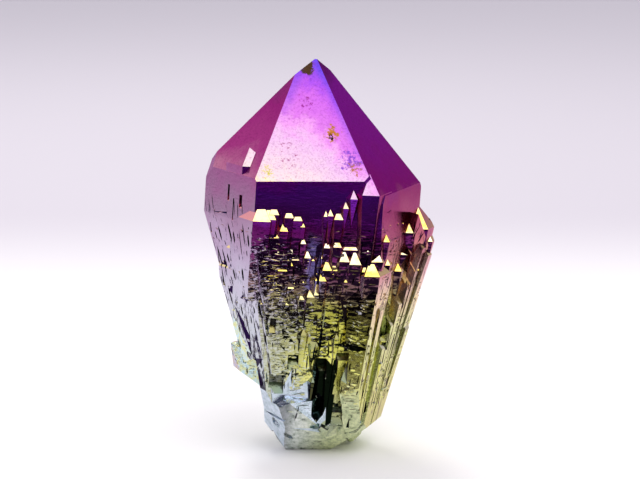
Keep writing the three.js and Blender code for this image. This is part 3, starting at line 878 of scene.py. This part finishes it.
# Painted shade: rows and streaks where hollows too small to model swallow the light, and how much of the face
# they take
mottle = {
    "rows": (0.75, 0.75, 3.4),  # grains per mm: 1.3 mm long across a side and 0.3 mm up it
    "clots": (1.5, 1.5, 2.4),  # and in lumps, on the lower front
    "clotsBelow": (12, 17),
    "streaks": (2.1, 2.1, 0.38),  # and the other way, up the sides that are not the front
    "grain": {"Scale": 1.0, "Detail": 5, "Roughness": 0.68},
    "fleckGrain": {"Scale": 1.0, "Detail": 5, "Roughness": 0.75},
    "darkFrom": (0.98, 1.04),
    "frontCover": (
        (5, 0.43), (8, 0.4), (13, 0.41), (17, 0.5), (21, 0.56), (26, 0.54), (28.2, 0.4), (29.5, 0.2),
    ),
    "leftCover": ((5, 0.5), (12, 0.5), (18, 0.45), (24, 0.4), (29, 0.36), (31.5, 0.2)),
    "rightCover": ((5, 0.4), (12, 0.42), (16, 0.38), (20, 0.38), (24, 0.42), (29, 0.36), (31.5, 0.2)),
    # patches of the front with more or less painted shade: across, up, half sizes in mm, and how much
    "patches": (
        (1.4, 12.5, 1.6, 5.0, 0.09), (4.3, 6.8, 1.2, 1.1, 0.1), (4.6, 14.6, 1.7, 0.5, 0.2),
        (5.0, 11.6, 2.2, 3.0, -0.22), (-2.6, 10.4, 2.2, 1.8, 0.09), (-0.2, 23.5, 0.9, 4.5, -0.14),
        (-4.8, 24.5, 2.6, 2.8, 0.07), (-2.8, 17.8, 3.4, 2.0, 0.06),
    ),
    "patchFade": (1.2, 0.5),  # in half sizes, where a patch starts and where it is full
    # the colours of the painted shade, by height, and bluer far to the left of the left side
    "dark": ((5, "0a140c"), (14, "0e140a"), (20, "1a1018"), (26, "200828"), (33, "180430")),
    "farLeftDark": {"color": "141434", "across": (-4, -6)},
    "rightHollows": 0.42,  # the painted shade in the hollows of the right side is this much as dark
    # painted highlights: small pale flecks standing for ones that mirror something bright, more of them to
    # the left
    "flecks": (1.9, 1.9, 3.6),
    "flecksLeft": -0.016,
    "fleckCover": ((5, 0.46), (9, 0.47), (17, 0.45), (21, 0.39), (26.5, 0.34), (28, 0.2), (29, 0.1)),
    "flecksFrom": (1.0, 1.06),
    "fleckShare": (0.8, 0.3),  # on the front, and the share of that on the other sides
    "fleck": ((5, "d4e0d8"), (12, "d4dccc"), (17, "ccccc8"), (21, "c8bcd0"), (26, "c4a8d0")),
    # ledge faces on the tips take the painted shade colour, less where the spots are high
    "ledgeShade": {"from": (0.5, 0.68), "share": (0.85, 0.15)},
    "glint": {"color": "5c7c74", "from": (0.5, 0.58), "below": (20, 14), "most": 0.75},  # painted teal glints in low slits
}
# What took little or no film: the rough pale break at the foot, the block beside it and the small growth
bare = {
    "break": ((0.34, "3c4640"), (0.43, "c8d4c8"), (0.6, "f6fcf8")),
    "breakRight": {"color": "ecf0a4", "across": (-1.5, 4), "most": 0.7},
    # the left of the break darkened with painted shade
    "breakLeftShade": {"color": "a8aab0", "across": (-0.6, -2.4), "most": 1},
    "breakMetal": 0.25,
    "breakRoughness": 0.5,
    "block": ((0.3, "a8c0c4"), (0.6, "dce8f4")),
    "growth": ((0.42, "c8e4ec"), (0.58, "d8dca0")),
}


def byHeight(run):
    # a run of colours or plain shares by height, as the stops of a colour ramp
    return [(up / film["top"], hexColor(c) if isinstance(c, str) else (c, c, c, 1)) for up, c in run]


def byNoise(run):
    return [(level, hexColor(code)) for level, code in run]


def readSurface(node, factNames):
    # everything the colours are worked out from, by name
    inverse = Matrix(turnArray.T.tolist())
    offset = inverse @ Vector(crystal["axisAtFoot"])
    place = node("Mapping", {
        "Location": tuple(-offset), "Rotation": inverse.to_euler("XYZ")[:], "Scale": (1 / mm, 1 / mm, 1 / mm),
        "Vector": node("TexCoord").outputs["Object"],
    })
    axes = node("SeparateXYZ", {0: place})
    at = {"place": place, "x": axes.outputs["X"], "z": axes.outputs["Z"]}
    for name in factNames:
        at[name] = node("Attribute", {"attribute_name": name}).outputs["Fac"]
    for name, settings in noises.items():
        at[name] = node("TexNoise", {**settings, "Vector": place})
    sway = node("Math", {"operation": "MULTIPLY_ADD", 0: at["cloud"], 1: film["sway"], 2: -film["sway"] / 2})
    at["height"] = node("Math", {"operation": "ADD", 0: at["z"], 1: sway})
    at["share"] = node("Math", {"operation": "DIVIDE", 0: at["height"], 1: film["top"]})
    at["plainShare"] = node("Math", {"operation": "DIVIDE", 0: at["z"], 1: film["top"]})
    notFront = node("Math", {"operation": "MAXIMUM", 0: at["onLeft"], 1: at["onRight"]})
    at["notFront"] = node("Math", {"operation": "MAXIMUM", 0: notFront, 1: at["onBack"]})
    band = film["tipBand"]
    at["onMain"] = node("MapRange", {**smooth, 0: at["z"], 1: band["from"], 2: band["to"]})
    # the colour of the painted shade
    at["darkColor"] = darkColor(node, at)
    at["grain"] = grainOf(node, at)
    at["spots"] = spotsOf(node, at)
    return at


def darkColor(node, at):
    # the colour of the painted shade: by height, bluer far to the left of the left side
    dark = mottle["farLeftDark"]
    farLeft = node("MapRange", {**smooth, 0: at["x"], 1: dark["across"][0], 2: dark["across"][1]})
    farLeft = node("Math", {"operation": "MULTIPLY", 0: farLeft, 1: at["onLeft"]})
    byUp = node("ValToRGB", {"stops": byHeight(mottle["dark"]), 0: at["plainShare"]})
    return node("Mix", {**blend, 0: farLeft, 6: byUp, 7: hexColor(dark["color"])})


def grainOf(node, at):
    # rows high on the front, clots low on it and streaks on the other sides
    grains = {}
    for kind in ("rows", "clots", "streaks"):
        stretched = node("VectorMath", {"operation": "MULTIPLY", 0: at["place"], 1: mottle[kind]})
        grains[kind] = node("TexNoise", {**mottle["grain"], "Vector": stretched})
    fully, start = mottle["clotsBelow"]
    lower = node("MapRange", {**smooth, 0: at["height"], 1: start, 2: fully})
    front = node("Mix", {"data_type": "FLOAT", 0: lower, 2: grains["rows"], 3: grains["clots"]})
    return node("Mix", {"data_type": "FLOAT", 0: at["notFront"], 2: front, 3: grains["streaks"]})


def spotsOf(node, at):
    stretched = node("VectorMath", {"operation": "MULTIPLY", 0: at["place"], 1: mottle["flecks"]})
    spots = node("TexNoise", {**mottle["fleckGrain"], "Vector": stretched})
    return node("Math", {"operation": "MULTIPLY_ADD", 0: at["x"], 1: mottle["flecksLeft"], 2: spots})


def slantedHeight(node, at):
    # the height that the front tip face takes its colour from
    band = film["tipBand"]
    past = node("Math", {"operation": "SUBTRACT", 0: at["x"], 1: band["past"]})
    past = node("Math", {"operation": "MAXIMUM", 0: past, 1: 0})
    slanted = node("Math", {"operation": "MULTIPLY", 0: past, 1: band["more"]})
    slanted = node("Math", {"operation": "MULTIPLY_ADD", 0: at["x"], 1: band["slope"], 2: slanted})
    slanted = node("Math", {"operation": "MULTIPLY_ADD", 0: slanted, 1: at["onMain"], 2: at["z"]})
    ragged = node("Math", {
        "operation": "MULTIPLY_ADD", 0: at["fine"], 1: band["ragged"], 2: -band["ragged"] / 2,
    })
    return node("Math", {"operation": "ADD", 0: slanted, 1: ragged})


def blueEdge(node, at, slanted):
    # how much each upper edge of the front tip face shows, from how far inside the edge the place is
    rim = film["tipEdge"]
    fall = tipRise / math.sqrt(3)  # how much further out an upper edge lies for each millimetre down
    edges = []
    for top, width, most, hand in rim["edges"]:
        inside = node("Math", {"operation": "MULTIPLY_ADD", 0: at["z"], 1: -fall, 2: top * fall})
        inside = node("Math", {"operation": "MULTIPLY_ADD", 0: at["x"], 1: hand, 2: inside})
        inside = node("Math", {"operation": "MULTIPLY_ADD", 0: at["fine"], 1: rim["wander"], 2: inside})
        inside = node("Math", {"operation": "SUBTRACT", 0: inside, 1: rim["wander"] / 2})
        edges.append(node("MapRange", {**smooth, 0: inside, 1: width, 2: 0.0, 3: 0, 4: most}))
    either = node("Math", {"operation": "MAXIMUM", 0: edges[0], 1: edges[1]})
    upper = node("MapRange", {**smooth, 0: slanted, 1: rim["up"][0], 2: rim["up"][1]})
    return node("Math", {"operation": "MULTIPLY", 0: either, 1: upper})


def frontTipColor(node, at):
    slanted = slantedHeight(node, at)
    share = node("Math", {"operation": "DIVIDE", 0: slanted, 1: film["top"]})
    color = node("ValToRGB", {"stops": byHeight(film["colors"]["tipFront"]), 0: share})
    edge = blueEdge(node, at, slanted)
    color = node("Mix", {**blend, 0: edge, 6: color, 7: hexColor(film["tipEdge"]["color"])})
    flat = node("CombineXYZ", {0: at["x"], 2: at["z"]})
    for (across, up), radius, code, limit in tipMarks["groups"]:
        middle = node("CombineXYZ", {0: across, 2: up})
        away = node("VectorMath", {"operation": "DISTANCE", 0: flat, 1: middle})
        near = node("MapRange", {**smooth, 0: away, 1: radius, 2: 0, 3: 0, 4: tipMarks["middle"]})
        near = node("Math", {"operation": "ADD", 0: near, 1: at["speckle"]})
        near = node("MapRange", {**smooth, 0: near, 1: limit, 2: limit + tipMarks["soft"]})
        within = node("MapRange", {**smooth, 0: away, 1: radius, 2: radius * tipMarks["inner"]})
        near = node("Math", {"operation": "MULTIPLY", 0: near, 1: within})
        color = node("Mix", {**blend, 0: near, 6: color, 7: hexColor(code)})
    return color


def tipColor(node, at, colors):
    color = node("Mix", {**blend, 0: at["onLeft"], 6: frontTipColor(node, at), 7: colors["tipLeft"]})
    color = node("Mix", {**blend, 0: at["onRight"], 6: color, 7: colors["tipRight"]})
    color = node("Mix", {**blend, 0: at["onBack"], 6: color, 7: colors["tipLeft"]})
    for code, start, end, most, how in film["tarnish"]:
        thin = node("MapRange", {**smooth, 0: at["dust"], 1: start, 2: end, 3: 0, 4: most})
        thin = node("Math", {"operation": "MULTIPLY", 0: thin, 1: at["onMain"]})
        color = node("Mix", {**blend, "blend_type": how, 0: thin, 6: color, 7: hexColor(code)})
    # ledge faces take the painted shade colour
    start, end = mottle["ledgeShade"]["from"]
    most, least = mottle["ledgeShade"]["share"]
    ledge = node("MapRange", {**smooth, 0: at["spots"], 1: start, 2: end, 3: most, 4: least})
    ledge = node("Math", {"operation": "MULTIPLY", 0: ledge, 1: at["onLedge"]})
    return node("Mix", {**blend, 0: ledge, 6: color, 7: at["darkColor"]})


def sideColor(node, at, colors):
    pale = film["lowLeft"]
    leftward = node("MapRange", {**smooth, 0: at["x"], 1: pale["across"][0], 2: pale["across"][1]})
    top, full = pale["up"]
    down = node("MapRange", {**smooth, 0: at["height"], 1: top, 2: full, 3: 0, 4: pale["most"]})
    leftward = node("Math", {"operation": "MULTIPLY", 0: leftward, 1: down})
    color = node("Mix", {**blend, 0: leftward, 6: colors["front"], 7: hexColor(pale["color"])})
    for where, name in (("onLeft", "left"), ("onRight", "right"), ("onBack", "back")):
        color = node("Mix", {**blend, 0: at[where], 6: color, 7: colors[name]})
    return node("Mix", {**blend, 0: veilOf(node, at), 6: color, 7: hexColor(film["veil"]["color"])})


def veilOf(node, at):
    veil = film["veil"]
    aside = node("Math", {"operation": "MULTIPLY_ADD", 0: at["fine"], 1: veil["wander"], 2: at["x"]})
    aside = node("Math", {"operation": "SUBTRACT", 0: aside, 1: veil["wander"] / 2 + veil["across"]})
    aside = node("Math", {"operation": "ABSOLUTE", 0: aside})
    edge, core = veil["half"]
    share = node("MapRange", {**smooth, 0: aside, 1: edge, 2: core, 3: 0, 4: veil["most"]})
    bottom, top = veil["up"]
    below = node("MapRange", {**smooth, 0: at["height"], 1: top, 2: top - veil["fade"]})
    above = node("MapRange", {**smooth, 0: at["height"], 1: bottom, 2: bottom + veil["fade"]})
    onFront = node("Math", {"operation": "SUBTRACT", 0: 1, 1: at["notFront"]})
    for limit in (below, above, onFront):
        share = node("Math", {"operation": "MULTIPLY", 0: share, 1: limit})
    return share


def paintedShadeShare(node, at):
    # where the grain and how much of the face is hollow there add up to a spot of painted shade
    covers = {
        name: node("ValToRGB", {"stops": byHeight(mottle[name]), 0: at["plainShare"]})
        for name in ("frontCover", "leftCover", "rightCover")
    }
    front = covers["frontCover"]
    outer, inner = mottle["patchFade"]
    for across, up, halfAcross, halfUp, amount in mottle["patches"]:
        aside = node("Math", {
            "operation": "MULTIPLY_ADD", 0: at["x"], 1: 1 / halfAcross, 2: -across / halfAcross,
        })
        above = node("Math", {"operation": "MULTIPLY_ADD", 0: at["z"], 1: 1 / halfUp, 2: -up / halfUp})
        apart = node("CombineXYZ", {0: aside, 1: above})
        apart = node("VectorMath", {"operation": "LENGTH", 0: apart}).outputs["Value"]
        near = node("MapRange", {**smooth, 0: apart, 1: outer, 2: inner, 3: 0, 4: amount})
        front = node("Math", {"operation": "ADD", 0: front, 1: near})
    side = node("Mix", {
        "data_type": "FLOAT", 0: at["onLeft"], 2: covers["rightCover"], 3: covers["leftCover"],
    })
    cover = node("Mix", {"data_type": "FLOAT", 0: at["notFront"], 2: front, 3: side})
    dark = node("Math", {"operation": "ADD", 0: at["grain"], 1: cover})
    return node("MapRange", {**smooth, 0: dark, 1: mottle["darkFrom"][0], 2: mottle["darkFrom"][1]})


def mottledColor(node, at, color):
    # spots of painted shade, flecks of painted highlight, and painted shade in the hollows
    color = node("Mix", {**blend, 0: paintedShadeShare(node, at), 6: color, 7: at["darkColor"]})
    # painted highlights: pale flecks mixed into the colour
    cover = node("ValToRGB", {"stops": byHeight(mottle["fleckCover"]), 0: at["plainShare"]})
    fleck = node("Math", {"operation": "ADD", 0: at["spots"], 1: cover})
    start, end = mottle["flecksFrom"]
    most, elsewhere = mottle["fleckShare"]
    fleck = node("MapRange", {**smooth, 0: fleck, 1: start, 2: end, 3: 0, 4: most})
    mostlyFront = node("MapRange", {0: at["notFront"], 3: 1, 4: elsewhere})
    fleck = node("Math", {"operation": "MULTIPLY", 0: fleck, 1: mostlyFront})
    highlightFleckColor = node("ValToRGB", {"stops": byHeight(mottle["fleck"]), 0: at["plainShare"]})
    color = node("Mix", {**blend, 0: fleck, 6: color, 7: highlightFleckColor})
    # painted shade in the hollows, weaker on the right side
    lessRight = node("MapRange", {0: at["onRight"], 3: 1, 4: mottle["rightHollows"]})
    deep = node("Math", {"operation": "MULTIPLY", 0: at["inHollow"], 1: lessRight})
    return node("Mix", {**blend, 0: deep, 6: color, 7: at["darkColor"]})


def slitColor(node, at):
    # slit faces take the painted shade colour, with painted glints low down
    glint = mottle["glint"]
    start, end = glint["from"]
    share = node("MapRange", {**smooth, 0: at["spots"], 1: start, 2: end, 3: 0, 4: glint["most"]})
    start, end = glint["below"]
    lowDown = node("MapRange", {**smooth, 0: at["height"], 1: start, 2: end})
    share = node("Math", {"operation": "MULTIPLY", 0: share, 1: lowDown})
    return node("Mix", {**blend, 0: share, 6: at["darkColor"], 7: hexColor(glint["color"])})


def withBareParts(node, at, color):
    breakColor = node("ValToRGB", {"stops": byNoise(bare["break"]), 0: at["crumbs"]})
    # the break tinted yellow to the right and darkened with painted shade to the left
    for tint in (bare["breakRight"], bare["breakLeftShade"]):
        start, end = tint["across"]
        share = node("MapRange", {**smooth, 0: at["x"], 1: start, 2: end, 3: 0, 4: tint["most"]})
        breakColor = node("Mix", {
            **blend, "blend_type": "MULTIPLY", 0: share, 6: breakColor, 7: hexColor(tint["color"]),
        })
    blockColor = node("ValToRGB", {"stops": byNoise(bare["block"]), 0: at["crumbs"]})
    growthColor = node("ValToRGB", {"stops": byNoise(bare["growth"]), 0: at["crumbs"]})
    for where, own in (("onFoot", breakColor), ("onBlock", blockColor), ("onGrowth", growthColor)):
        color = node("Mix", {**blend, 0: at[where], 6: color, 7: own})
    return color


def filmMaterial(factNames):
    material = newMaterial("vacuum_metal_film_on_quartz")

    def node(kind, settings=None):
        return addNode(material.node_tree, kind, settings)

    at = readSurface(node, factNames)
    colors = {
        name: node("ValToRGB", {"stops": byHeight(run), 0: at["share"]})
        for name, run in film["colors"].items() if name != "tipFront"
    }
    side = mottledColor(node, at, sideColor(node, at, colors))
    color = node("Mix", {**blend, 0: at["onTip"], 6: side, 7: tipColor(node, at, colors)})
    color = node("Mix", {**blend, 0: at["inSlit"], 6: color, 7: slitColor(node, at)})
    color = withBareParts(node, at, color)

    relief = node("Mix", {"data_type": "FLOAT", 0: at["onTip"], 2: at["grain"], 3: 0.5})
    relief = node("Math", {"operation": "MULTIPLY_ADD", 0: relief, 1: film["grainRelief"], 2: at["grit"]})
    relief = node("Math", {"operation": "MULTIPLY_ADD", 0: at["onFoot"], 1: at["crumbs"], 2: relief})
    shader = node("BsdfPrincipled", {
        "Metallic": node("MapRange", {0: at["onFoot"], 3: 1.0, 4: bare["breakMetal"]}),
        "Roughness": node("MapRange", {0: at["onFoot"], 3: film["roughness"], 4: bare["breakRoughness"]}),
        "Base Color": color,
        "Normal": node("Bump", {**film["bump"], "Height": relief}),
        "Specular Tint": film["edgeOn"],
    })
    node("OutputMaterial", {"Surface": shader})
    return material


# A floor of white paper that greys with distance, and a dark card lying on it before the point, which only
# the mirror faces see
stage = {
    "floorSize": 4.0,  # m
    "nearColor": "ffffff",
    "farColor": "d4d0d8",
    "fade": (42, 150),  # mm behind the point, where the paper turns from the near colour to the far one
    "paperRoughness": 0.9,
    "paperGloss": 0.1,
    "cardColor": "4a4650",
    "cardSize": 400,  # mm
    "cardFrom": -52,  # mm, where the card starts in front of the point
    "cardUp": 1,  # mm
}


def paperMaterial():
    # matt white paper looks soft and even, with next to no gloss
    material = newMaterial("white_paper_sweep")
    tree = material.node_tree
    where = addNode(tree, "TexCoord")
    axes = addNode(tree, "SeparateXYZ", {0: where.outputs["Object"]})
    start, end = stage["fade"]
    fade = addNode(tree, "MapRange", {**smooth, 0: axes.outputs["Y"], 1: start * mm, 2: end * mm})
    near, far = hexColor(stage["nearColor"]), hexColor(stage["farColor"])
    color = addNode(tree, "Mix", {**blend, 0: fade, 6: near, 7: far})
    shader = addNode(tree, "BsdfPrincipled", {
        "Roughness": stage["paperRoughness"], "Specular IOR Level": stage["paperGloss"], "Base Color": color,
    })
    addNode(tree, "OutputMaterial", {"Surface": shader})
    return material


def cardMaterial():
    # dark grey card, matt, so that the faces that mirror it look darker
    material = newMaterial("dark_grey_card")
    shader = addNode(material.node_tree, "BsdfPrincipled", {"Base Color": hexColor(stage["cardColor"])})
    addNode(material.node_tree, "OutputMaterial", {"Surface": shader})
    return material


def addStage():
    bpy.ops.mesh.primitive_plane_add(size=stage["floorSize"], location=(0, 0, 0))
    floor = bpy.context.object
    floor.name = "studio_floor"
    floor.data.materials.append(paperMaterial())
    size = stage["cardSize"] * mm
    place = (0, stage["cardFrom"] * mm - size / 2, stage["cardUp"] * mm)
    bpy.ops.mesh.primitive_plane_add(size=size, location=place)
    card = bpy.context.object
    card.name = "dark_card"
    card.data.materials.append(cardMaterial())
    card.visible_camera = False
    card.visible_diffuse = False
    card.visible_shadow = False


lights = {
    "aim": 30,  # mm up the point
    "key": {"at": (80, -115, 290), "size": 235, "power": 0.18, "color": "fff6f4"},
    "back": {"at": (-60, 260, 380), "size": 180, "power": 0.7, "color": "fffcf8"},
}
# The room that the film mirrors: pale all round, but dark low in front and less so low on the right
room = {
    "color": "ebe8ee",
    "darkColor": "504a58",
    "strength": 1.13,
    # for a way of length 1, where the dark starts and where it is full: up, back and to the right
    "low": (0.7, 0.38),
    "front": (0.2, -0.75),
    "right": (0.2, 0.55),
    "rightShare": 0.4,
}


def addLights():
    for name in ("key", "back"):
        light = lights[name]
        place = Vector(light["at"]) * mm
        aim = Vector((0, 0, lights["aim"] * mm)) - place
        turn = aim.to_track_quat("-Z", "Y").to_euler()
        bpy.ops.object.light_add(type="AREA", location=place, rotation=turn)
        lamp = bpy.context.object
        lamp.name = name + "_light"
        lamp.data.shape = "DISK"
        lamp.data.size = light["size"] * mm
        lamp.data.energy = light["power"]
        lamp.data.color = hexColor(light["color"])[:3]


def addRoom():
    world = bpy.data.worlds.new("studio")
    bpy.context.scene.world = world
    world.use_nodes = True
    tree = world.node_tree
    tree.nodes.clear()
    where = addNode(tree, "TexCoord")
    axes = addNode(tree, "SeparateXYZ", {0: where.outputs["Generated"]})
    sectors = {}
    for name, axis in (("front", "Y"), ("right", "X"), ("low", "Z")):
        sectors[name] = addNode(tree, "MapRange", {
            **smooth, 0: axes.outputs[axis], 1: room[name][0], 2: room[name][1],
        })
    front = addNode(tree, "Math", {"operation": "MULTIPLY", 0: sectors["front"], 1: sectors["low"]})
    right = addNode(tree, "Math", {"operation": "MULTIPLY", 0: sectors["right"], 1: sectors["low"]})
    right = addNode(tree, "Math", {"operation": "MULTIPLY", 0: right, 1: room["rightShare"]})
    dark = addNode(tree, "Math", {"operation": "MAXIMUM", 0: front, 1: right})
    pale, darkest = hexColor(room["color"]), hexColor(room["darkColor"])
    color = addNode(tree, "Mix", {**blend, 0: dark, 6: pale, 7: darkest})
    glow = addNode(tree, "Background", {"Strength": room["strength"], "Color": color})
    addNode(tree, "OutputWorld", {"Surface": glow})


bpy.context.scene.view_settings.view_transform = "Standard"
addCamera()
stone = stoneBody()
print("stone copied:", len(stone.data.polygons), "faces")

chance = random.Random(slits["seed"])
combine(stone, slitCopies(treeOf(stone), chance, slitShape()), "DIFFERENCE", "slit")
combine(stone, crackCopies(treeOf(stone), slitShape()), "DIFFERENCE", "slit")
print("slits cut:", len(stone.data.polygons), "faces")

chance = random.Random(ledges["seed"])
shape = ledgeShape()
for layer in range(ledges["layers"]):
    combine(stone, ledgeCopies(treeOf(stone), layer, chance, shape), "UNION", "ledge")
    print("ledges, layer", layer + 1, "grown:", len(stone.data.polygons), "faces")

chance = random.Random(flakes["seed"])
shape = flakeShape()
for layer in range(flakes["layers"]):
    combine(stone, flakeCopies(treeOf(stone), layer, chance, shape), "UNION", "grown")
    print("flakes, layer", layer + 1, "grown:", len(stone.data.polygons), "faces")

chance = random.Random(tips["seed"])
combine(stone, tipCopies(treeOf(stone), chance, tipShape()), "UNION", "grown")
triangles = sum(len(face.vertices) - 2 for face in stone.data.polygons)
print("tips grown:", len(stone.data.polygons), "faces,", triangles, "triangles")

factNames = faceFacts(stone)
stone.data.materials.append(filmMaterial(factNames))
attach(stone, "root")
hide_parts("aura_quartz_point")
print("film laid on")

addStage()
addLights()
addRoom()
print("stage and lights set")
